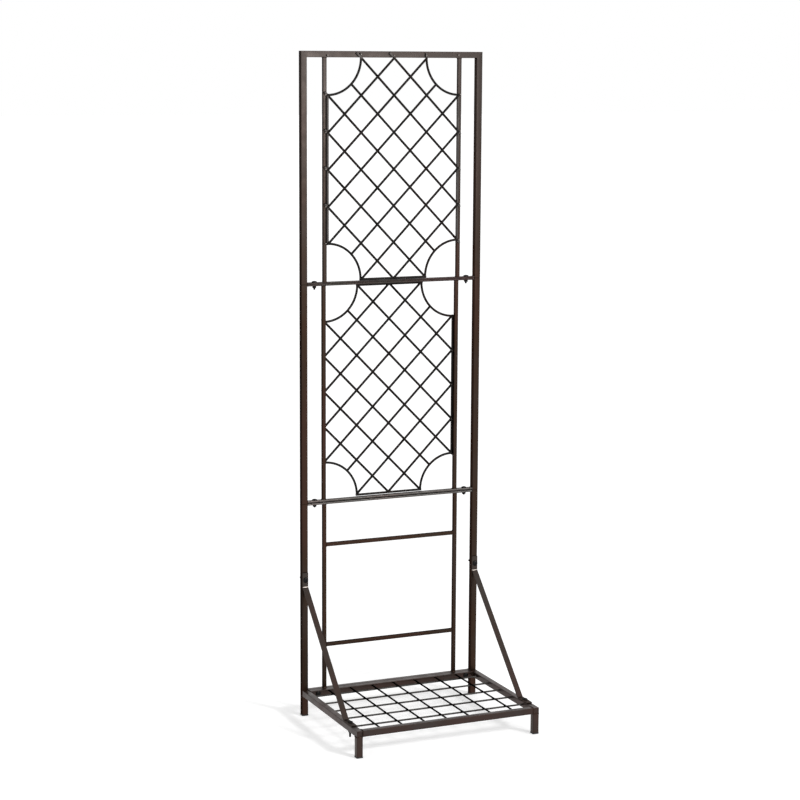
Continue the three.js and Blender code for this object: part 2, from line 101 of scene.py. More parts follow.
def add_node(tree, kind, inputs=None, **settings):
    node = tree.nodes.new(kind)
    for key, value in settings.items():
        setattr(node, key, value)
    for key, value in (inputs or {}).items():
        if isinstance(value, bpy.types.NodeSocket):
            tree.links.new(value, node.inputs[key])
        else:
            node.inputs[key].default_value = value
    return node


def noise(tree, scale, detail=3.0, stretch=(1, 1, 1)):
    """Noise in the row frame: scale is in features to a metre, stretch multiplies it by axis."""
    place = add_node(tree, "ShaderNodeTexCoord").outputs["Object"]
    mapped = add_node(tree, "ShaderNodeMapping", {"Vector": place, "Scale": stretch})
    return add_node(tree, "ShaderNodeTexNoise", {
        "Vector": mapped.outputs["Vector"], "Scale": scale, "Detail": detail,
    }).outputs["Fac"]


def ramp(tree, factor, stops):
    """A colour ramp. Its two outer stops come first, then any between them."""
    node = add_node(tree, "ShaderNodeValToRGB", {"Fac": factor})
    elements = node.color_ramp.elements
    for index, (position, color) in enumerate(stops):
        element = elements[index] if index < 2 else elements.new(position)
        element.position = position
        element.color = (*color, 1)
    return node.outputs["Color"]


def mix(tree, factor, a, b):
    node = add_node(tree, "ShaderNodeMix", data_type="RGBA")
    for socket, value in ((node.inputs[0], factor), (node.inputs[6], a), (node.inputs[7], b)):
        if isinstance(value, bpy.types.NodeSocket):
            tree.links.new(value, socket)
        else:
            socket.default_value = value if isinstance(value, float) else (*value, 1)
    return node.outputs[2]


def span(tree, value, low, high, start=0.0, end=1.0):
    node = add_node(tree, "ShaderNodeMapRange", {
        "Value": value, "From Min": low, "From Max": high, "To Min": start, "To Max": end,
    })
    return node.outputs["Result"]


def spread(tree, value, start, end):
    """Spreads the middle of a noise, where most of its values lie, from start to end."""
    return span(tree, value, 0.3, 0.7, start, end)


def add_bump(tree, shader, height, strength, distance):
    bump = add_node(tree, "ShaderNodeBump", {
        "Height": height, "Strength": strength, "Distance": distance,
    })
    tree.links.new(bump.outputs["Normal"], shader.inputs["Normal"])


COAT_METALLIC = 0.97
# painted glint: a bright bare steel colour, where the edge weight is above 1, in the braces' bends
# and on the tack welds
PAINTED_GLINT_STEEL = (0.62, 0.56, 0.51)
# painted reflection: the grey that the tube coat is lightened towards near the top
TOP_SHEEN_GREY = (0.060, 0.053, 0.050)
TOP_SHEEN_FROM, TOP_SHEEN_TO = 1.1, 1.9  # heights between which a painted reflection greys and lightens the coat more and more
DRIFT_SCALE, DRIFT_DETAIL, DRIFT_STRETCH = 9.0, 4.0, (1, 1, 0.6)
FLAKE_SCALE, FLAKE_SHARE, FLAKE_LIFT = 2600.0, 0.2, 1.9
WEAR_AND_LIGHT_SCALE, WEAR_AND_LIGHT_LEAST = 60.0, 0.7
GLOSS_SCALE, GLOSS_BELOW, GLOSS_ABOVE = 35.0, 0.06, 0.08  # round the coat's roughness
PEEL_SCALE, PEEL_STRENGTH, PEEL_DEPTH = 430.0, 0.15, 0.2 * MM


def powder_coat(name, brown, red, grey, wear_and_light_tone, roughness, slant, top_sheen=0.0, wear_and_light_slant=0.0):
    """Satin metallic coat: slow drifts from brown to red and grey, orange peel and fine flake.

    slant is how much of the flake's gloss is left where it is seen aslant. The mesh's own edge
    attribute weighs wear together with painted light and shade: at 1 it takes the coat to its
    second tone, and at 2 to a painted glint in a bare steel colour. The second tone's own slant
    is what is left of the gloss aslant where that weight lies, if that is more. The coat can also
    be greyed and lightened towards the top, a painted reflection.
    """
    material, tree, shader = nodes_of(name)
    drift = ramp(tree, noise(tree, DRIFT_SCALE, DRIFT_DETAIL, DRIFT_STRETCH),
                 [(0.38, grey), (0.62, red), (0.5, brown)])
    place = add_node(tree, "ShaderNodeTexCoord").outputs["Object"]
    height = add_node(tree, "ShaderNodeSeparateXYZ", {"Vector": place}).outputs["Z"]
    # painted reflection: the coat turns lighter and greyer towards the top
    top_sheened = mix(tree, span(tree, height, TOP_SHEEN_FROM, TOP_SHEEN_TO, 0.0, top_sheen), drift, TOP_SHEEN_GREY)
    flake = spread(tree, noise(tree, FLAKE_SCALE, 1.0), 0.0, FLAKE_SHARE)
    speckled = mix(tree, flake, top_sheened, tuple(FLAKE_LIFT * c for c in brown))
    # the edge weight: painted shade on tube corners, painted light on other corners, laps, tips and
    # lit rods, partly real wear
    wear_and_light_weight = add_node(tree, "ShaderNodeAttribute", attribute_name="edge").outputs["Fac"]
    patches = spread(tree, noise(tree, WEAR_AND_LIGHT_SCALE), WEAR_AND_LIGHT_LEAST, 1.0)
    patchy = add_node(tree, "ShaderNodeMath", {0: wear_and_light_weight, 1: patches},
                      operation="MULTIPLY").outputs["Value"]
    edged = mix(tree, patchy, speckled, wear_and_light_tone)
    # painted glint: weights above 1 go to the bright bare steel colour
    glinted = mix(tree, span(tree, wear_and_light_weight, 1.0, 2.0), edged, PAINTED_GLINT_STEEL)
    tree.links.new(glinted, shader.inputs["Base Color"])
    gloss = spread(tree, noise(tree, GLOSS_SCALE), roughness - GLOSS_BELOW, roughness + GLOSS_ABOVE)
    tree.links.new(gloss, shader.inputs["Roughness"])
    shader.inputs["Metallic"].default_value = COAT_METALLIC
    if wear_and_light_slant > slant:
        aslant = mix(tree, patchy, (slant,) * 3, (wear_and_light_slant,) * 3)
        tree.links.new(aslant, shader.inputs["Specular Tint"])
    else:
        shader.inputs["Specular Tint"].default_value = (slant, slant, slant, 1)
    add_bump(tree, shader, noise(tree, PEEL_SCALE), PEEL_STRENGTH, PEEL_DEPTH)
    return material


def blackened_steel():
    material, tree, shader = nodes_of("black_oxide_steel")
    tone = ramp(tree, noise(tree, 120.0),
                [(0.35, (0.004, 0.004, 0.0045)), (0.65, (0.012, 0.011, 0.0105))])
    tree.links.new(tone, shader.inputs["Base Color"])
    tree.links.new(spread(tree, noise(tree, 260.0), 0.24, 0.42), shader.inputs["Roughness"])
    shader.inputs["Metallic"].default_value = 0.8
    shader.inputs["Specular Tint"].default_value = (0.4, 0.4, 0.4, 1)
    shader.inputs["Coat Weight"].default_value = 0.05
    shader.inputs["Coat Roughness"].default_value = 0.05
    add_bump(tree, shader, noise(tree, 1500.0), strength=0.12, distance=0.1 * MM)
    return material


def moulded_plastic():
    material, tree, shader = nodes_of("black_moulded_plastic")
    tone = ramp(tree, noise(tree, 80.0),
                [(0.3, (0.008, 0.008, 0.008)), (0.7, (0.018, 0.017, 0.017))])
    tree.links.new(tone, shader.inputs["Base Color"])
    tree.links.new(spread(tree, noise(tree, 300.0), 0.5, 0.66), shader.inputs["Roughness"])
    add_bump(tree, shader, noise(tree, 2200.0), strength=0.25, distance=0.15 * MM)
    return material


# Each coat's second tone lies where the edge weight is: darker on the tube coats, painted shade on
# their corners; lighter on the others, painted light on corners, laps, tips and lit rods.
TUBE_COAT = powder_coat(
    "bronze_coat_tube", brown=(0.036, 0.0215, 0.0145), red=(0.045, 0.0235, 0.0175),
    grey=(0.037, 0.026, 0.021), wear_and_light_tone=(0.020, 0.014, 0.012),
    # the tube coat gets the painted reflection towards the top
    roughness=0.34, slant=0.25, top_sheen=0.95)
SHELF_COAT = powder_coat(
    "bronze_coat_shelf_tube", brown=(0.045, 0.031, 0.027), red=(0.052, 0.032, 0.028),
    grey=(0.047, 0.038, 0.035), wear_and_light_tone=(0.022, 0.016, 0.014), roughness=0.36, slant=0.95)
FLAT_COAT = powder_coat(
    "bronze_coat_flat_bar", brown=(0.046, 0.034, 0.029), red=(0.054, 0.035, 0.031),
    grey=(0.047, 0.040, 0.036), wear_and_light_tone=(0.062, 0.050, 0.044), roughness=0.32, slant=0.5)
# a darker copy of the flat bar coat for the upper joint's bars: painted shade
UPPER_JOINT_COAT = powder_coat(
    "bronze_coat_upper_joint_bar", brown=(0.036, 0.028, 0.026), red=(0.044, 0.028, 0.027),
    grey=(0.034, 0.033, 0.029), wear_and_light_tone=(0.050, 0.040, 0.036), roughness=0.34, slant=0.4)
# lighter copies of the flat bar coat for the lower joint's bars: painted light
LOWER_JOINT_LIT_COAT = powder_coat(
    "bronze_coat_lower_joint_lit_bar", brown=(0.082, 0.073, 0.069), red=(0.100, 0.080, 0.076),
    grey=(0.070, 0.069, 0.067), wear_and_light_tone=(0.15, 0.14, 0.13), roughness=0.36, slant=0.04)
LOWER_JOINT_LIT_GLOSSY_COAT = powder_coat(
    "bronze_coat_lower_joint_lit_glossy_bar", brown=(0.082, 0.070, 0.065), red=(0.100, 0.077, 0.073),
    grey=(0.074, 0.070, 0.067), wear_and_light_tone=(0.15, 0.14, 0.13), roughness=0.36, slant=0.6)
ROD_COAT = powder_coat(
    "bronze_coat_rod", brown=(0.014, 0.0127, 0.0118), red=(0.017, 0.0127, 0.0118),
    grey=(0.014, 0.0135, 0.013), wear_and_light_tone=(0.105, 0.094, 0.088),
    roughness=0.4, slant=0.35, wear_and_light_slant=1.0)
WIRE_COAT = powder_coat(
    "bronze_coat_wire", brown=(0.003, 0.0027, 0.0025), red=(0.004, 0.003, 0.0027),
    grey=(0.003, 0.003, 0.0027), wear_and_light_tone=(0.054, 0.050, 0.047),
    roughness=0.4, slant=0.1, wear_and_light_slant=0.5)
STEEL = blackened_steel()
PLASTIC = moulded_plastic()
SLOT_MATERIAL = {
    "tube_coat": TUBE_COAT, "flat_bar_coat": FLAT_COAT, "lattice_coat": ROD_COAT,
    "wire_coat": WIRE_COAT, "hardware": STEEL, "foot_plastic": PLASTIC,
}

# ---------- mesh building ----------

SHARP_DEGREES = 40


class Shell:
    """Vertices and faces of one piece, with a weight kept for each vertex of wear and of painted
    light and shade.
    """

    def __init__(self):
        self.points = []
        self.faces = []
        self.edge = []

    def ring(self, points, edge=0.0):
        start = len(self.points)
        weights = edge if isinstance(edge, (list, tuple)) else [edge] * len(points)
        self.points.extend(points)
        self.edge.extend(weights)
        return list(range(start, start + len(points)))

    def bridge(self, a, b):
        count = len(a)
        for n in range(count):
            m = (n + 1) % count
            self.faces.append((a[n], a[m], b[m], b[n]))

    def cap(self, ring, flip=False):
        self.faces.append(tuple(ring) if flip else tuple(reversed(ring)))

    def loft(self, rings, edges=None, caps=True):
        edges = edges or [0.0] * len(rings)
        made = [self.ring(ring, edge) for ring, edge in zip(rings, edges)]
        for a, b in zip(made, made[1:]):
            self.bridge(a, b)
        if caps:
            self.cap(made[0])
            self.cap(made[-1], flip=True)
        return made

    def piece(self, name, slot, replaces=(), sharp=SHARP_DEGREES, material=None):
        mesh = bpy.data.meshes.new(name)
        mesh.from_pydata([tuple(p) for p in self.points], [], self.faces)
        mesh.update()
        mesh.shade_smooth()
        mesh.set_sharp_from_angle(angle=math.radians(sharp))
        weights = mesh.attributes.new("edge", "FLOAT", "POINT")
        weights.data.foreach_set("value", self.edge)
        mesh.materials.append(material or SLOT_MATERIAL[slot])
        piece = bpy.data.objects.new(name, mesh)
        bpy.context.scene.collection.objects.link(piece)
        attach(piece, "root")
        if replaces:
            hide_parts(*replaces)


# painted shade on the tube coats' corners, which go darker; on the flat bar coats the corners go
# lighter, partly wear and partly painted highlight
CORNER_SHADE_AND_LIGHT = 0.9
CORNER_STEPS = 6


def rounded_section(half_u, half_v, corner):
    """A rectangle with round corners, with the corner weight, painted shade and light, on the
    middle of each corner.
    """
    points, weights = [], []
    for quarter, (su, sv) in enumerate(((1, 1), (-1, 1), (-1, -1), (1, -1))):
        for step in range(CORNER_STEPS + 1):
            angle = math.radians(90 * (quarter + step / CORNER_STEPS))
            points.append((su * (half_u - corner) + corner * math.cos(angle),
                           sv * (half_v - corner) + corner * math.sin(angle)))
            weights.append(CORNER_SHADE_AND_LIGHT * math.sin(math.pi * step / CORNER_STEPS))
    return points, weights


def circle_section(radius, sides):
    turns = [2 * math.pi * n / sides for n in range(sides)]
    return [(radius * math.cos(turn), radius * math.sin(turn)) for turn in turns]


def place(section, origin, u, v, lean=None):
    """A section's points in space. lean moves each along an axis by its own u, for a mitred end."""
    points = []
    for a, b in section:
        point = origin + u * a + v * b
        if lean:
            point = point + lean * a
        points.append(point)
    return points


def scaled(section, share):
    return [(a * share, b * share) for a, b in section]


# ---------- square tubes and flat bars ----------

END_CHAMFER = 0.5 * MM
GROUND_FLUSH = 0.03 * MM  # the chamfer left where a mitre's weld is ground off
TUBE_CORNER = 1.2 * MM
SLIM_CORNER = 0.6 * MM
FLAT_CORNER = 1.2 * MM
MITRE_SEAM = 0.05 * MM


def bar_between(shell, start, end, u, v, half_u, half_v, corner, leans=(None, None),
                chamfers=(END_CHAMFER, END_CHAMFER)):
    """A round-cornered bar with a small chamfer at each end."""
    section, weights = rounded_section(half_u, half_v, corner)
    along = (end - start).normalized()
    rings, edges = [], []
    for point, lean, chamfer, inwards in zip((start, end), leans, chamfers, (along, -along)):
        inset = scaled(section, 1 - chamfer / max(half_u, half_v))
        tip = place(inset, point, u, v, lean)
        body = place(section, point + inwards * chamfer, u, v, lean)
        pair = [tip, body] if inwards == along else [body, tip]
        rings.extend(pair)
        edges.extend([weights, weights])
    shell.loft(rings, edges)


def straight_bar(node, slot, corner, material=None):
    """Takes a straight tube's or flat bar's place from its CAD node's own box."""
    low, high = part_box(node)
    spans = list(high - low)
    axis = spans.index(max(spans))
    others = [n for n in range(3) if n != axis]
    centre = (low + high) / 2
    start, end = centre.copy(), centre.copy()
    start[axis], end[axis] = low[axis], high[axis]
    u, v = (X, Y, Z)[others[0]], (X, Y, Z)[others[1]]
    if u.cross(v).dot(end - start) < 0:
        u, v = v, u
        others.reverse()
    half_u, half_v = ((high - low)[n] / 2 for n in others)
    shell = Shell()
    bar_between(shell, start, end, u, v, half_u, half_v, corner)
    shell.piece(f"{node}_coated", slot, [node], material=material)


def mitred_top():
    """The top bar and the two posts under it meet at 45 degrees."""
    low, high = post_box("top_panel_left")
    half = (high.x - low.x) / 2
    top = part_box("top_bar")[1].z
    middle_y = (low.y + high.y) / 2
    for side, sign in SIDES:
        low, high = post_box(f"top_panel_{side}")
        x = (low.x + high.x) / 2
        shell = Shell()
        start = Vector((x, middle_y, low.z))
        end = Vector((x, middle_y, top - half - MITRE_SEAM))
        bar_between(shell, start, end, X, Y, half, half, TUBE_CORNER, (None, Z * sign),
                    (END_CHAMFER, GROUND_FLUSH))
        shell.piece(f"top_panel_{side}_post_coated", "tube_coat", [f"top_panel_{side}_post"])
    left, right = post_box("top_panel_left"), post_box("top_panel_right")
    start = Vector((left[0].x + half + MITRE_SEAM, middle_y, top - half))
    end = Vector((right[1].x - half - MITRE_SEAM, middle_y, top - half))
    shell = Shell()
    bar_between(shell, start, end, Y, Z, half, half, TUBE_CORNER,
                chamfers=(GROUND_FLUSH, GROUND_FLUSH))
    ring_size = len(shell.points) // 4  # two rings at each end
    for n, point in enumerate(shell.points):
        sign = -1 if n < 2 * ring_size else 1
        shell.points[n] = point + X * sign * (point.z - (top - half))
    shell.piece("top_bar_coated", "tube_coat", ["top_bar"])


PANELS = ("top", "middle", "bottom")
TUBES = [
    *(f"{panel}_panel_{side}_inner_upright" for panel in PANELS for side, _ in SIDES),
    *(f"{panel}_panel_{side}_post" for panel in PANELS[1:] for side, _ in SIDES),
    "upper_rung", "lower_rung",
]
SHELF_TUBES = [
    *(f"front_{side}_leg" for side, _ in SIDES),
    *(f"{side}_side_rail" for side, _ in SIDES),
    "front_rail", "rear_rail", "bottom_panel_rail",
]
CROSSBARS = {  # the lower joint's bars get lighter copies of the coat than the upper joint's: painted light on the lower joint, painted shade on the upper
    "top_panel_crossbar": UPPER_JOINT_COAT,
    "middle_panel_upper_crossbar": UPPER_JOINT_COAT,
    "middle_panel_lower_crossbar": LOWER_JOINT_LIT_GLOSSY_COAT,
    "bottom_panel_crossbar": LOWER_JOINT_LIT_COAT,
}


def add_bars():
    for node in TUBES:
        slim = "rung" in node or "upright" in node
        straight_bar(node, "tube_coat", SLIM_CORNER if slim else TUBE_CORNER)
    for node in SHELF_TUBES:
        straight_bar(node, "tube_coat", TUBE_CORNER, SHELF_COAT)
    for node, material in CROSSBARS.items():
        straight_bar(node, "flat_bar_coat", FLAT_CORNER, material)
    mitred_top()


# ---------- rods ----------

ROD_SIDES = 16
ROD_END = 0.6 * MM
# painted light on the rods where they lap the top bar
LAP_LIGHT = 1.0
LIT_ROD_LIGHT = 0.8  # painted light on the rods that are lit more: the top lattice's side bars and the shelf's cross wires
# painted highlight on the rods' and wires' chamfered ends
TIP_HIGHLIGHT = 0.4


def rod(shell, start, end, radius, laps=(0.0, 0.0), body_light=0.0):
    """A round rod with chamfered ends, painted light on its tips and over its laps, which are
    lengths from its ends; the weight for its length paints light along it too.
    """
    along = (end - start).normalized()
    u = along.orthogonal().normalized()
    v = along.cross(u)
    circle = circle_section(radius, ROD_SIDES)
    tip = scaled(circle, 1 - ROD_END / radius)
    rings, edges = [place(tip, start, u, v)], [TIP_HIGHLIGHT]
    for near, away, lap in ((start, along, laps[0]), (end, -along, laps[1])):
        places = [near + away * ROD_END]
        wear_and_light = [LAP_LIGHT if lap else body_light]
        if lap:
            places += [near + away * lap, near + away * (lap + 2 * radius)]
            wear_and_light += [LAP_LIGHT, body_light]
        if near is end:
            places.reverse()
            wear_and_light.reverse()
        rings.extend(place(circle, point, u, v) for point in places)
        edges.extend(wear_and_light)
    rings.append(place(tip, end, u, v))
    shell.loft(rings, [*edges, TIP_HIGHLIGHT])


def curved_rod(shell, points, radius, normal, lapped=0):
    """A round rod along a flat curve, which lies square to normal; its first rings lap a tube."""
    circle = circle_section(radius, ROD_SIDES)
    rings = []
    for n, point in enumerate(points):
        before = points[max(n - 1, 0)]
        after = points[min(n + 1, len(points) - 1)]
        along = (after - before).normalized()
        rings.append(place(circle, point, along.cross(normal), normal))
    # painted light on the lapped rings
    shell.loft(rings, [LAP_LIGHT] * lapped + [0.0] * (len(rings) - lapped))


LUMP_ROWS = 7
LUMP_SIDES = 14
LUMP_SWELL = 0.05
LUMP_WEAR = 0.1


def weld_lump(shell, centre, u, v, w, sizes, rng, wear_and_light=LUMP_WEAR):
    """A flattened, slightly lumpy ball of weld metal, with its sizes along u, v and w."""
    rings = []
    for row in range(1, LUMP_ROWS):
        polar = math.pi * row / LUMP_ROWS
        ring = []
        for n in range(LUMP_SIDES):
            angle = 2 * math.pi * n / LUMP_SIDES
            swell = 1 + rng.uniform(-LUMP_SWELL, LUMP_SWELL)
            ring.append(centre + (u * math.cos(angle) * sizes[0] + v * math.sin(angle) * sizes[1])
                        * math.sin(polar) * swell - w * math.cos(polar) * sizes[2])
        rings.append(ring)
    shell.loft(rings, [wear_and_light] * len(rings))


# ---------- lattices ----------

DIAMONDS_ACROSS = 4
DIAMONDS_HIGH = 6
ROD_RADIUS = 3.2 * MM
ROD_SINK = 2.5 * MM
SEAM = 0.2 * MM
SIDE_BAR_INSET = 1.0 * MM
SIDE_LAP = 8.0 * MM
TOP_LAP = 13.0 * MM
ARC_STEPS = 28
CROSSING_WELD = (1.15, 1.15, 0.9)  # in rod radii
TACK_SIZE = 2.2 * MM
TACK_REACH = 5.5 * MM  # from the side bar's middle onto the upright
TOP_TACK_THICK, SIDE_TACK_THICK = ROD_RADIUS * 1.15, ROD_RADIUS * 1.1
# painted glint on the tack welds: above 1 the coat goes part way to the bright bare steel colour
TOP_TACK_GLINT, SIDE_TACK_GLINT = 1.3, 1.35
LATTICE_SEED = 7


def diagonals():
    """Falling rods in whole diamonds from the top left corner, as ((i, j), (k, m)) pairs."""
    arc_hit = math.sqrt(0.5)
    for offset in range(1 - DIAMONDS_HIGH, DIAMONDS_ACROSS):
        start = (max(offset, 0), max(-offset, 0))
        run = min(DIAMONDS_ACROSS - start[0], DIAMONDS_HIGH - start[1])
        end = (start[0] + run, start[1] + run)
        if run <= 1:  # only a quarter round goes across the corner diamond
            continue
        if offset == 0:
            start = (arc_hit, arc_hit)
        if end == (DIAMONDS_ACROSS, DIAMONDS_HIGH):
            end = (end[0] - arc_hit, end[1] - arc_hit)
        yield start, end


class LatticeGrid:
    """Places on a lattice, worked out from its CAD node's box and the uprights beside it."""

    def __init__(self, node, panel, lapped):
        low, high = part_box(node)
        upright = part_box(f"{panel}_panel_left_inner_upright")
        self.facing = 1 if high.y > upright[1].y else -1
        self.half = -upright[1].x - SIDE_BAR_INSET
        self.bottom = low.z + ROD_RADIUS
        self.top = high.z - ROD_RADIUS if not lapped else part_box("top_bar")[0].z
        self.lap = TOP_LAP if lapped else 0.0
        seat = upright[1].y if self.facing > 0 else upright[0].y
        self.near = seat + self.facing * (SEAM + ROD_RADIUS)
        self.far = self.near + self.facing * (2 * ROD_RADIUS - ROD_SINK)
        self.pitch_x = 2 * self.half / DIAMONDS_ACROSS
        self.pitch_z = (self.top - self.bottom) / DIAMONDS_HIGH

    def at(self, i, j, y):
        return Vector((-self.half + i * self.pitch_x, y, self.top - j * self.pitch_z))


def lattice(node, panel, lapped):
    grid = LatticeGrid(node, panel, lapped)
    shell = Shell()
    at, near, far = grid.at, grid.near, grid.far
    wide, tall = DIAMONDS_ACROSS, DIAMONDS_HIGH
    past_z = ROD_RADIUS / grid.pitch_z
    past_x = ROD_RADIUS / grid.pitch_x
    for j in ((tall,) if lapped else (0, tall)):
        rod(shell, at(1 - past_x, j, near), at(wide - 1 + past_x, j, near), ROD_RADIUS)
    for i in (0, wide):
        # painted light along the lapped lattice's side bars
        rod(shell, at(i, 1 - past_z, near), at(i, tall - 1 + past_z, near), ROD_RADIUS,
            body_light=LIT_ROD_LIGHT if lapped else 0.0)
    for i, j in ((0, 0), (wide, 0), (0, tall), (wide, tall)):
        inwards, upwards = (1 if i == 0 else -1), (-1 if j == 0 else 1)
        points = []
        for n in range(ARC_STEPS + 1):
            angle = math.pi / 2 * n / ARC_STEPS
            points.append(at(i, j, near) + X * inwards * grid.pitch_x * math.cos(angle)
                          + Z * upwards * grid.pitch_z * math.sin(angle))
        if lapped and j == 0:
            points.insert(0, points[0] + Z * grid.lap)
        curved_rod(shell, points, ROD_RADIUS, Y, 2 if lapped and j == 0 else 0)
    side_step = SIDE_LAP / grid.pitch_x
    slope = math.hypot(grid.pitch_x, grid.pitch_z)
    for (i, j), (k, m) in diagonals():
        before = grid.lap / grid.pitch_z if j == 0 else side_step if i == 0 else 0
        after = side_step if k == wide else 0
        rod(shell, at(i - before, j - before, near), at(k + after, m + after, near), ROD_RADIUS,
            laps=(before * slope, after * slope))
        rod(shell, at(wide - i, j, far), at(wide - k, m, far), ROD_RADIUS)
    rng = random.Random(LATTICE_SEED)
    add_crossing_welds(shell, grid, rng)
    if lapped:
        add_tacks(shell, grid, rng)
    shell.piece(f"{node}_welded_rods", "lattice_coat", [node])


def add_crossing_welds(shell, grid, rng):
    """The squeezed-out metal where two diagonals cross, and where they meet the side bars."""
    middle = (grid.near + grid.far) / 2
    size = tuple(ROD_RADIUS * share for share in CROSSING_WELD)
    for twice_j in range(1, 2 * DIAMONDS_HIGH):
        for twice_i in range(1, 2 * DIAMONDS_ACROSS):
            if (twice_i + twice_j) % 2:
                continue
            i, j = twice_i / 2, twice_j / 2
            corner_i = min(i, DIAMONDS_ACROSS - i)
            corner_j = min(j, DIAMONDS_HIGH - j)
            if math.hypot(corner_i, corner_j) < 1:  # outside a corner's quarter round
                continue
            weld_lump(shell, grid.at(i, j, middle), X, Z, Y, size, rng)
    for i in (0, DIAMONDS_ACROSS):
        for j in range(1, DIAMONDS_HIGH):
            weld_lump(shell, grid.at(i, j, middle), X, Z, Y, size, rng)


def add_tacks(shell, grid, rng):
    """The tack welds where a lapped lattice's rods are joined to the tubes behind, made bright by a
    painted glint.
    """
    for i in range(DIAMONDS_ACROSS + 1):
        spot = grid.at(i, 0, grid.near) + Z * rng.uniform(0.4, 0.7) * grid.lap
        tack = (TACK_SIZE, TACK_SIZE * rng.uniform(1.0, 1.3), TOP_TACK_THICK)
        spot = spot + X * rng.uniform(-0.3, 0.3) * ROD_RADIUS
        weld_lump(shell, spot, X, Z, Y, tack, rng, TOP_TACK_GLINT)
    for i, sign in ((0, -1), (DIAMONDS_ACROSS, 1)):
        for j in range(1, DIAMONDS_HIGH):
            spot = grid.at(i, j, grid.near) + X * sign * TACK_REACH
            spot = spot + Z * rng.uniform(0, 1.5) * MM
            tack = (TACK_SIZE * rng.uniform(0.8, 1.2), TACK_SIZE, SIDE_TACK_THICK)
            weld_lump(shell, spot, X, Z, Y, tack, rng, SIDE_TACK_GLINT)


# ---------- wire shelf ----------

WIRE_RADIUS = 2.4 * MM
WIRE_SINK = 0.5 * MM
DEPTH_WIRES = 7
CROSS_WIRES = 5
SIDE_MARGIN = 55.3 * MM
REAR_MARGIN = 26.5 * MM
FRONT_MARGIN = 46.5 * MM
WIRE_WELD = (1.2, 1.2, 0.9)  # in wire radii
WIRE_SEED = 11


def spaced(low, high, count):
    return [low + (high - low) * n / (count - 1) for n in range(count)]


def wire_grid():
    low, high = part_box("wire_grid")
    shell = Shell()
    upper = high.z - WIRE_RADIUS
    lower = upper - 2 * WIRE_RADIUS + WIRE_SINK
    columns = spaced(low.x + SIDE_MARGIN, high.x - SIDE_MARGIN, DEPTH_WIRES)
    rows = spaced(high.y - REAR_MARGIN, low.y + FRONT_MARGIN, CROSS_WIRES)
    for x in columns:
        rod(shell, Vector((x, high.y, upper)), Vector((x, low.y, upper)), WIRE_RADIUS)
    for y in rows:
        # painted light along the cross wires
        rod(shell, Vector((low.x, y, lower)), Vector((high.x, y, lower)), WIRE_RADIUS,
            body_light=LIT_ROD_LIGHT)
    rng = random.Random(WIRE_SEED)
    size = tuple(WIRE_RADIUS * share for share in WIRE_WELD)
    for x in columns:
        for y in rows:
            weld_lump(shell, Vector((x, y, (upper + lower) / 2)), X, Y, Z, size, rng)
    shell.piece("wire_grid_welded_rods", "wire_coat", ["wire_grid"])


# ---------- braces ----------

BRACE_THICK = 4.0 * MM
BRACE_BEND = 5.0 * MM
BRACE_TOP_TAB = 41.0 * MM
BRACE_FOOT_TAB = 56.0 * MM
BEND_STEPS = 8
BEND_GLINT = {3: 1.3, 4: 2.0, 5: 2.0, 6: 1.4}  # painted highlight by ring, a bright bare steel colour in the upper bend's middle
TAB_END_WEAR = 0.8


def bent_line(corners, radius):
    """A flat polyline in the YZ plane with its corners rounded, as (point, direction) pairs."""
    line = [(corners[0], (corners[1] - corners[0]).normalized())]
    for before_point, corner, after_point in zip(corners, corners[1:], corners[2:]):
        before = (corner - before_point).normalized()
        after = (after_point - corner).normalized()
        turn = math.atan2(before.cross(after).x, before.dot(after))
        start = corner - before * radius * math.tan(abs(turn) / 2)
        hub = start + X.cross(before) * radius * math.copysign(1, turn)
        for step in range(BEND_STEPS + 1):
            spin = Matrix.Rotation(turn * step / BEND_STEPS, 3, "X")
            line.append((hub + spin @ (start - hub), spin @ before))
    line.append((corners[-1], (corners[-1] - corners[-2]).normalized()))
    return line


def braces():
    for side, _ in SIDES:
        low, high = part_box(f"{side}_brace")
        x = (low.x + high.x) / 2
        y_top = high.y - BRACE_THICK / 2
        z_foot = low.z + BRACE_THICK / 2
        corners = [
            Vector((x, y_top, high.z)),
            Vector((x, y_top, high.z - BRACE_TOP_TAB)),
            Vector((x, low.y + BRACE_FOOT_TAB, z_foot)),
            Vector((x, low.y, z_foot)),
        ]
        section, weights = rounded_section((high.x - low.x) / 2, BRACE_THICK / 2, FLAT_CORNER)
        rings, edges = [], []
        line = bent_line(corners, BRACE_BEND)
        for n, (point, along) in enumerate(line):
            rings.append(place(section, point, X, along.cross(X)))
            # painted highlight across the upper bend
            bend = BEND_GLINT.get(n, 0.0)
            edges.append([bend or weight for weight in weights])
        tips = []
        for point, along in (line[0], line[-1]):
            inset = [(a - math.copysign(END_CHAMFER, a), b - math.copysign(END_CHAMFER, b))
                     for a, b in section]
            tips.append(place(inset, point, X, along.cross(X)))
        (first, out), (last, on) = line[0], line[-1]
        rings[0] = place(section, first + out * END_CHAMFER, X, out.cross(X))
        rings[-1] = place(section, last - on * END_CHAMFER, X, on.cross(X))
        shell = Shell()
        shell.loft([tips[0], *rings, tips[1]], [TAB_END_WEAR, *edges, TAB_END_WEAR])
        shell.piece(f"{side}_brace_bent_bar", "flat_bar_coat", [f"{side}_brace"])


# ---------- bolts and nuts ----------

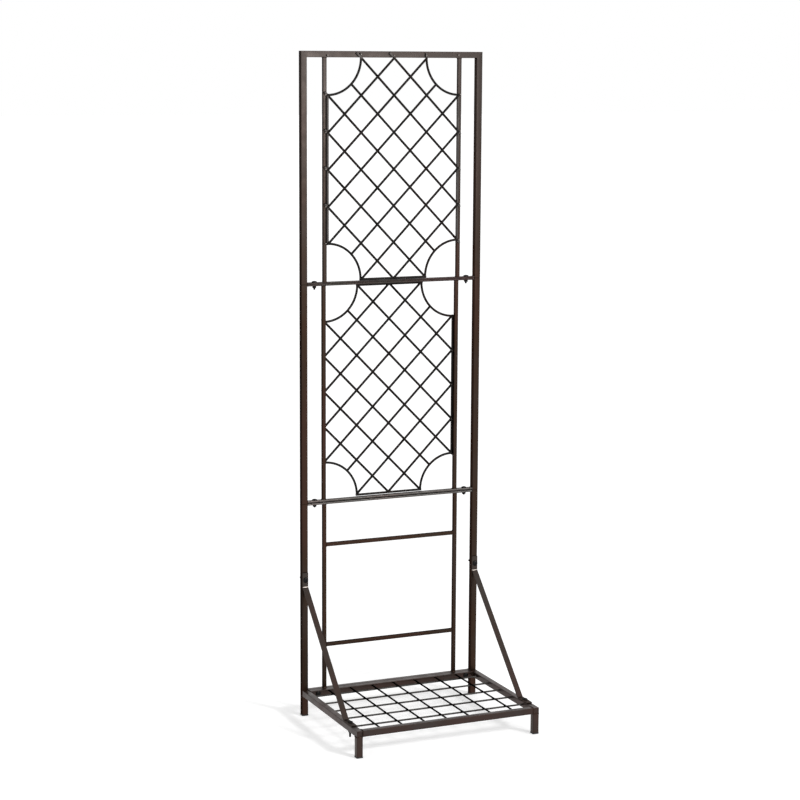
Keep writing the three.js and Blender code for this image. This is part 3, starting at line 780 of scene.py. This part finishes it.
BOLT_RADIUS = 3.0 * MM
THREAD_PITCH = 1.0 * MM
THREAD_DEPTH = 0.55 * MM
SHORT_THREAD = 13.0 * MM
LONG_THREAD = 20.0 * MM
LONG_BOLT = 30.0 * MM  # a bolt longer than this has the long thread
HEAD_RADIUS = 7.5 * MM
HEAD_HEIGHT = 4.0 * MM
HEAD_LIP = 0.7 * MM
HEAD_EDGE = 0.2 * MM
DOME_STEPS = 9
THREAD_ROWS = 6  # rings to each turn of the thread
THREAD_START = 0.3 * MM
NUT_ACROSS = 10.0 * MM
NUT_HEIGHT = 5.0 * MM
NUT_CHAMFER = 0.9 * MM
NUT_FACE = 0.98  # the end face's radius, as a share of half the width over the flats
NUT_SIDES = 72
BORE_FLARE, BORE_FLARE_DEPTH = 0.6 * MM, 0.4 * MM
TURN_SIDES = 28


def axis_frame(axis):
    u = axis.orthogonal().normalized()
    return u, axis.cross(u)


def bolt(node, tip, axis):
    """A dome-headed bolt. tip is the end of its thread, and axis points from it to the head."""
    low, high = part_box(node)
    length = (high - low).dot(Vector(map(abs, axis))) - HEAD_HEIGHT
    u, v = axis_frame(axis)
    shell = Shell()
    rings = [place(circle_section(BOLT_RADIUS - 2 * THREAD_DEPTH, TURN_SIDES), tip, u, v)]
    thread = LONG_THREAD if length > LONG_BOLT else SHORT_THREAD
    rows = int(thread / THREAD_PITCH * THREAD_ROWS)
    for row in range(rows + 1):
        along = thread * row / rows
        ring = []
        for n in range(TURN_SIDES):
            turn = n / TURN_SIDES
            phase = (along / THREAD_PITCH - turn) % 1.0
            depth = THREAD_DEPTH * abs(2 * phase - 1)
            start = max(0.0, 1 - along / THREAD_PITCH) * THREAD_DEPTH
            angle = 2 * math.pi * turn
            radius = BOLT_RADIUS - depth - start
            outwards = u * math.cos(angle) + v * math.sin(angle)
            ring.append(tip + axis * (along + THREAD_START) + outwards * radius)
        rings.append(ring)
    head = tip + axis * length
    turned = [  # radius and place of each ring from the thread to the head's lip
        (BOLT_RADIUS, tip + axis * (thread + MM)),
        (BOLT_RADIUS, head),
        (HEAD_RADIUS - HEAD_EDGE, head),
        (HEAD_RADIUS, head + axis * HEAD_EDGE),
        (HEAD_RADIUS, head + axis * HEAD_LIP),
    ]
    dome = HEAD_HEIGHT - HEAD_LIP
    for step in range(1, DOME_STEPS):
        angle = math.radians(90 * step / DOME_STEPS)
        turned.append((HEAD_RADIUS * math.cos(angle),
                       head + axis * (HEAD_LIP + dome * math.sin(angle))))
    for radius, centre in turned:
        rings.append(place(circle_section(radius, TURN_SIDES), centre, u, v))
    shell.loft(rings)
    shell.piece(f"{node}_threaded", "hardware", [node], sharp=50)


def hexagon(flat, limit):
    """A hexagon. flat is its middle's distance from its flats, limit the radius of its corners."""
    section = []
    for n in range(NUT_SIDES):
        angle = 2 * math.pi * n / NUT_SIDES
        off = (angle + math.pi / 6) % (math.pi / 3) - math.pi / 6
        radius = min(flat / math.cos(off), limit)
        section.append((radius * math.cos(angle), radius * math.sin(angle)))
    return section


def nut(node, axis):
    """A hexagon nut with its corners chamfered by a cone."""
    low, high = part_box(node)
    centre = (low + high) / 2
    u, v = axis_frame(axis)
    flat = NUT_ACROSS / 2
    corner = flat / math.cos(math.pi / 6)
    half = NUT_HEIGHT / 2
    inside = half - BORE_FLARE_DEPTH
    bore = circle_section(BOLT_RADIUS - THREAD_DEPTH, NUT_SIDES)
    mouth = circle_section(BOLT_RADIUS - THREAD_DEPTH + BORE_FLARE, NUT_SIDES)
    levels = [
        (-inside, bore), (-half, mouth), (-half, hexagon(flat, flat * NUT_FACE)),
        (-half + NUT_CHAMFER, hexagon(flat, corner)), (half - NUT_CHAMFER, hexagon(flat, corner)),
        (half, hexagon(flat, flat * NUT_FACE)), (half, mouth), (inside, bore),
    ]
    rings = [place(section, centre + axis * level, u, v) for level, section in levels]
    shell = Shell()
    made = shell.loft(rings, caps=False)
    shell.bridge(made[-1], made[0])
    shell.piece(f"{node}_hexagon", "hardware", [node], sharp=30)


def add_fasteners():
    stations = [(f"{joint}_joint_{side}", Z) for joint in ("lower", "upper") for side, _ in SIDES]
    stations += [(f"{side}_brace_foot", Z) for side, _ in SIDES]
    stations += [(f"{side}_brace_top", -Y) for side, _ in SIDES]
    stations += [(f"shelf_{side}", -Y) for side, _ in SIDES]
    for name, axis in stations:
        low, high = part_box(f"{name}_bolt")
        tip = (low + high) / 2
        if axis == Z:
            tip.z = low.z
        else:
            tip.y = high.y
        bolt(f"{name}_bolt", tip, axis)
        nut(f"{name}_nut", axis)


# ---------- foot caps ----------

CAP_RIM = 3.5 * MM
CAP_CORNER = 2.2 * MM
PLUG_HALF = 7.0 * MM
PLUG_CORNER = 1.0 * MM
CAP_LEVELS = (  # height, and how far the outline stands in from the rim, in mm
    (0.0, 1.2), (0.3, 0.5), (0.9, 0.1), (1.6, 0.0), (2.8, 0.0), (3.3, 0.25), (3.5, 0.7),
)


def foot_caps():
    for end in ("rear", "front"):
        for side, _ in SIDES:
            node = f"{end}_{side}_foot_cap"
            low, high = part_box(node)
            x, y = (low.x + high.x) / 2, (low.y + high.y) / 2
            half = (high.x - low.x) / 2
            rings = []
            for height, inset in CAP_LEVELS:
                size = half - inset * MM
                section, _ = rounded_section(size, size, CAP_CORNER)
                rings.append(place(section, Vector((x, y, low.z + height * MM)), X, Y))
            plug, _ = rounded_section(PLUG_HALF, PLUG_HALF, PLUG_CORNER)
            rings.append(place(plug, Vector((x, y, low.z + CAP_RIM)), X, Y))
            rings.append(place(plug, Vector((x, y, high.z)), X, Y))
            shell = Shell()
            shell.loft(rings)
            shell.piece(f"{node}_moulded", "foot_plastic", [node])


# ---------- weld beads between bars ----------

BEAD_RADIUS = 1.3 * MM
BEAD_STEP = 1.1 * MM
BEAD_SIDES = 10
BEAD_WEAR = 0.35
BEAD_RIPPLE = 0.13
BEAD_UNEVEN = 0.07
BEAD_WANDER = 0.12 * BEAD_RADIUS
BEAD_END, BEAD_GROWTH = 0.45, 4  # the share of its radius at an end, and its growth from there
BEAD_SEED = 3


def bead(shell, start, end, rng):
    """A rippled fillet of weld along a straight line, half sunk in what it joins."""
    along = (end - start).normalized()
    u, v = axis_frame(along)
    count = max(3, int((end - start).length / BEAD_STEP))
    rings = []
    for n in range(count + 1):
        share = n / count
        taper = min(1.0, BEAD_END + BEAD_GROWTH * min(share, 1 - share))
        swell = 1 + BEAD_RIPPLE * (n % 2) + rng.uniform(-BEAD_UNEVEN, BEAD_UNEVEN)
        wander = (u * rng.uniform(-1, 1) + v * rng.uniform(-1, 1)) * BEAD_WANDER
        centre = start + (end - start) * share + wander
        rings.append(place(circle_section(BEAD_RADIUS * taper * swell, BEAD_SIDES), centre, u, v))
    shell.loft(rings, [BEAD_WEAR] * len(rings))


def bead_round(shell, face, low, high, axis, rng):
    """Beads along the four edges where a bar with that box meets a face square to its axis."""
    a, b = [n for n in range(3) if n != axis]
    corners = []
    for sa, sb in ((0, 0), (1, 0), (1, 1), (0, 1)):
        point = Vector((0, 0, 0))
        point[axis] = face
        point[a] = (low, high)[sa][a]
        point[b] = (low, high)[sb][b]
        corners.append(point)
    for p, q in zip(corners, corners[1:] + corners[:1]):
        bead(shell, p, q, rng)


def welds():
    rng = random.Random(BEAD_SEED)
    for panel in PANELS:
        shell = Shell()
        for side, sign in SIDES:
            low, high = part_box(f"{panel}_panel_{side}_inner_upright")
            for z in (low.z, high.z):
                bead_round(shell, z, low, high, UPRIGHT, rng)
            for node in [n for n in CROSSBARS if n.startswith(panel)]:
                bar_low, bar_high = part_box(node)
                x = bar_high.x * sign
                inner = bar_high.z if bar_low.z < low.z else bar_low.z
                bead(shell, Vector((x, bar_low.y, inner)), Vector((x, bar_high.y, inner)), rng)
        if panel == "bottom":
            for node in ("upper_rung", "lower_rung", "bottom_panel_rail"):
                low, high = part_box(node)
                for x in (low.x, high.x):
                    bead_round(shell, x, low, high, ACROSS, rng)
        shell.piece(f"{panel}_panel_weld_beads", "tube_coat")
    shell = Shell()
    for node in ("front_rail", "rear_rail"):
        low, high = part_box(node)
        for x in (low.x, high.x):
            bead_round(shell, x, low, high, ACROSS, rng)
    for side, _ in SIDES:
        low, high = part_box(f"front_{side}_leg")
        bead_round(shell, high.z, low, high, UPRIGHT, rng)
    shell.piece("shelf_weld_beads", "tube_coat")


# ---------- stage ----------

FLOOR_HALF = 60.0
FLOOR_COLOR = (0.9, 0.9, 0.9)
FLOOR_GLOW = 0.36  # seen by the camera and in reflections, but no light on the object
WORLD_LEVEL = 0.62
SUN_AZIMUTH, SUN_ELEVATION, SUN_SPREAD = 30, 36, 9  # in degrees
SUN_LEVEL = 1.2
PANEL_PLACE, PANEL_AIM = (0.75, -2.9, 1.85), (0.0, 0.2, 1.7)
PANEL_SIZE = 1.1
PANEL_WATTS = 17


def seen_rays(tree):
    """1 on camera, glossy and transmission rays, 0 on the rays that light the object."""
    path = add_node(tree, "ShaderNodeLightPath").outputs
    seen = path["Is Camera Ray"]
    for kind in ("Is Glossy Ray", "Is Transmission Ray"):
        seen = add_node(tree, "ShaderNodeMath", {0: seen, 1: path[kind]},
                        operation="MAXIMUM").outputs[0]
    return seen


def add_world():
    world = bpy.data.worlds.new("studio")
    bpy.context.scene.world = world
    world.use_nodes = True
    tree = world.node_tree
    plain = tree.nodes["Background"]
    plain.inputs["Color"].default_value = (1, 1, 1, 1)
    plain.inputs["Strength"].default_value = WORLD_LEVEL
    white = add_node(tree, "ShaderNodeBackground", {"Color": (1, 1, 1, 1), "Strength": 1.0})
    blend = add_node(tree, "ShaderNodeMixShader", {"Fac": seen_rays(tree)})
    tree.links.new(plain.outputs[0], blend.inputs[1])
    tree.links.new(white.outputs[0], blend.inputs[2])
    tree.links.new(blend.outputs[0], tree.nodes["World Output"].inputs["Surface"])


def add_floor():
    corners = [(x * FLOOR_HALF, y * FLOOR_HALF, 0) for x, y in ((-1, -1), (1, -1), (1, 1), (-1, 1))]
    mesh = bpy.data.meshes.new("floor")
    mesh.from_pydata(corners, [], [(0, 1, 2, 3)])
    floor = bpy.data.objects.new("floor", mesh)
    bpy.context.scene.collection.objects.link(floor)
    material, tree, shader = nodes_of("pale_floor")
    shader.inputs["Base Color"].default_value = (*FLOOR_COLOR, 1)
    shader.inputs["Roughness"].default_value = 0.9
    shader.inputs["Specular IOR Level"].default_value = 0.0
    shader.inputs["Emission Color"].default_value = (1, 1, 1, 1)
    glow = add_node(tree, "ShaderNodeMath", {0: seen_rays(tree), 1: FLOOR_GLOW},
                    operation="MULTIPLY")
    tree.links.new(glow.outputs[0], shader.inputs["Emission Strength"])
    mesh.materials.append(material)


def add_light(data, location, direction):
    light = bpy.data.objects.new(data.name, data)
    light.location = location
    light.rotation_mode = "QUATERNION"
    light.rotation_quaternion = direction.to_track_quat("-Z", "Y")
    bpy.context.scene.collection.objects.link(light)


def add_sun():
    """Soft, even light from far away. Its azimuth is counted as the camera's is."""
    data = bpy.data.lights.new("key", "SUN")
    data.energy = SUN_LEVEL
    data.angle = math.radians(SUN_SPREAD)
    a, e = math.radians(SUN_AZIMUTH), math.radians(SUN_ELEVATION)
    back = Vector((math.sin(a) * math.cos(e), -math.cos(a) * math.cos(e), math.sin(e)))
    add_light(data, (0, 0, 0), -back)


def add_panel_light():
    """A square lamp in front, which the upper tubes' front faces reflect."""
    data = bpy.data.lights.new("front_panel", "AREA")
    data.shape = "RECTANGLE"
    data.size, data.size_y = PANEL_SIZE, PANEL_SIZE
    data.energy = PANEL_WATTS
    add_light(data, PANEL_PLACE, Vector(PANEL_AIM) - Vector(PANEL_PLACE))


def add_stage():
    add_world()
    add_floor()
    add_sun()
    add_panel_light()
    bpy.context.scene.view_settings.view_transform = "Standard"


add_camera()
add_bars()
lattice("top_lattice", "top", True)
lattice("middle_lattice", "middle", False)
wire_grid()
braces()
add_fasteners()
foot_caps()
welds()
add_stage()
